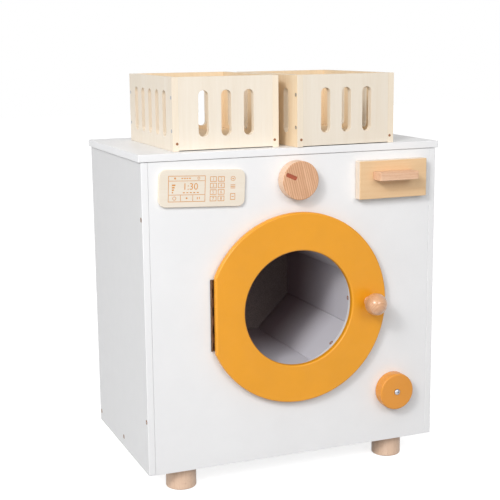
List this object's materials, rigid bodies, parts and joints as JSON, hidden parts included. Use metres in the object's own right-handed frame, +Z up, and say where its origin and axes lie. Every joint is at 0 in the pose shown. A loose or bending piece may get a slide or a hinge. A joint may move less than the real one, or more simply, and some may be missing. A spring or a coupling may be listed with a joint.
{
  "type": "toy washing machine",
  "caption": "Painted wooden play washing machine with a ring door, turning drum, dial, knob, soap drawer and loose slotted baskets on top.",
  "frame": {"origin": "on the floor under the middle of the bounding box, at rest with the door shut and both baskets on top", "axes": "+Z up, -Y out of the front, +X to the right of someone who looks at the front"},
  "size_m": [0.406, 0.2885, 0.5177],
  "materials": {
    "white_paint": "satin white paint on fibreboard",
    "orange_paint": "satin orange paint on wood",
    "beech": "lacquered beech",
    "basswood_ply": "sanded pale plywood",
    "hardboard": "dark hardboard",
    "walnut_inlay": "red-brown wood inlay",
    "bronze": "dark bronze plating on steel",
    "steel": "zinc plated",
    "brown_steel": "brown screw heads",
    "nylon": "natural nylon"
  },
  "bodies": {
    "cabinet": {"side_panel_left": "white_paint", "side_panel_right": "white_paint", "front_panel": "white_paint", "top_panel": "white_paint", "base_panel": "white_paint", "back_panel": "white_paint", "foot_front_left": "beech", "foot_front_right": "beech", "foot_back_left": "beech", "foot_back_right": "beech", "foot_screws": "steel", "side_screws": "brown_steel", "panel_dowels": "beech", "display_plate": "basswood_ply", "hinge_leaf_panel": "bronze", "hinge_pin": "bronze", "hinge_panel_screws": "bronze", "door_magnet": "steel", "drawer_rail_left": "basswood_ply", "drawer_rail_right": "basswood_ply", "lower_knob_bolt": "steel", "lower_knob_nut": "steel", "axle_bolt": "steel", "axle_hardware": "steel"},
    "door": {"door_ring": "orange_paint", "hinge_leaf_door": "bronze", "hinge_door_screws": "bronze", "door_ball": "beech", "door_ball_screw": "steel", "door_strike": "steel"},
    "dial": {"dial_disc": "beech", "dial_pointer": "walnut_inlay", "dial_bolt": "steel", "dial_nut": "steel"},
    "lower_knob_body": {"lower_knob": "orange_paint"},
    "drawer": {"drawer_front": "beech", "drawer_handle": "beech", "handle_screws": "steel", "drawer_side_left": "basswood_ply", "drawer_side_right": "basswood_ply", "drawer_back": "basswood_ply", "drawer_floor": "basswood_ply", "drawer_nails": "steel"},
    "drum": {"drum_staves": "white_paint", "drum_ring": "white_paint", "drum_back": "hardboard", "drum_screws": "brown_steel", "drum_bush": "nylon"},
    "basket_left": {"basket_left_front": "basswood_ply", "basket_left_back": "basswood_ply", "basket_left_side_a": "basswood_ply", "basket_left_side_b": "basswood_ply", "basket_left_floor": "basswood_ply", "basket_left_fasteners": "steel"},
    "basket_right": {"basket_right_front": "basswood_ply", "basket_right_back": "basswood_ply", "basket_right_side_a": "basswood_ply", "basket_right_side_b": "basswood_ply", "basket_right_floor": "basswood_ply", "basket_right_fasteners": "steel"}
  },
  "joints": [
    {"name": "door_hinge", "type": "hinge", "parent": "cabinet", "child": "door", "pos_m": [-0.1145, -0.10085, 0.2265], "axis": [0, 0, -1], "range_deg": [0, 100]},
    {"name": "dial_turn", "type": "hinge", "parent": "cabinet", "child": "dial", "pos_m": [0, -0.10725, 0.3893], "axis": [0, -1, 0], "continuous": true},
    {"name": "lower_knob_turn", "type": "hinge", "parent": "cabinet", "child": "lower_knob_body", "pos_m": [0.1392, -0.10725, 0.1002], "axis": [0, -1, 0], "continuous": true},
    {"name": "drawer_slide", "type": "slide", "parent": "cabinet", "child": "drawer", "axis": [0, -1, 0], "range_m": [0, 0.09]},
    {"name": "drum_turn", "type": "hinge", "parent": "cabinet", "child": "drum", "pos_m": [0, 0.11825, 0.2265], "axis": [0, -1, 0], "continuous": true},
    {"name": "basket_left_lift", "type": "slide", "parent": "cabinet", "child": "basket_left", "axis": [0, 0, 1], "range_m": [0, 0.15]},
    {"name": "basket_right_lift", "type": "slide", "parent": "cabinet", "child": "basket_right", "axis": [0, 0, 1], "range_m": [0, 0.15]}
  ]
}
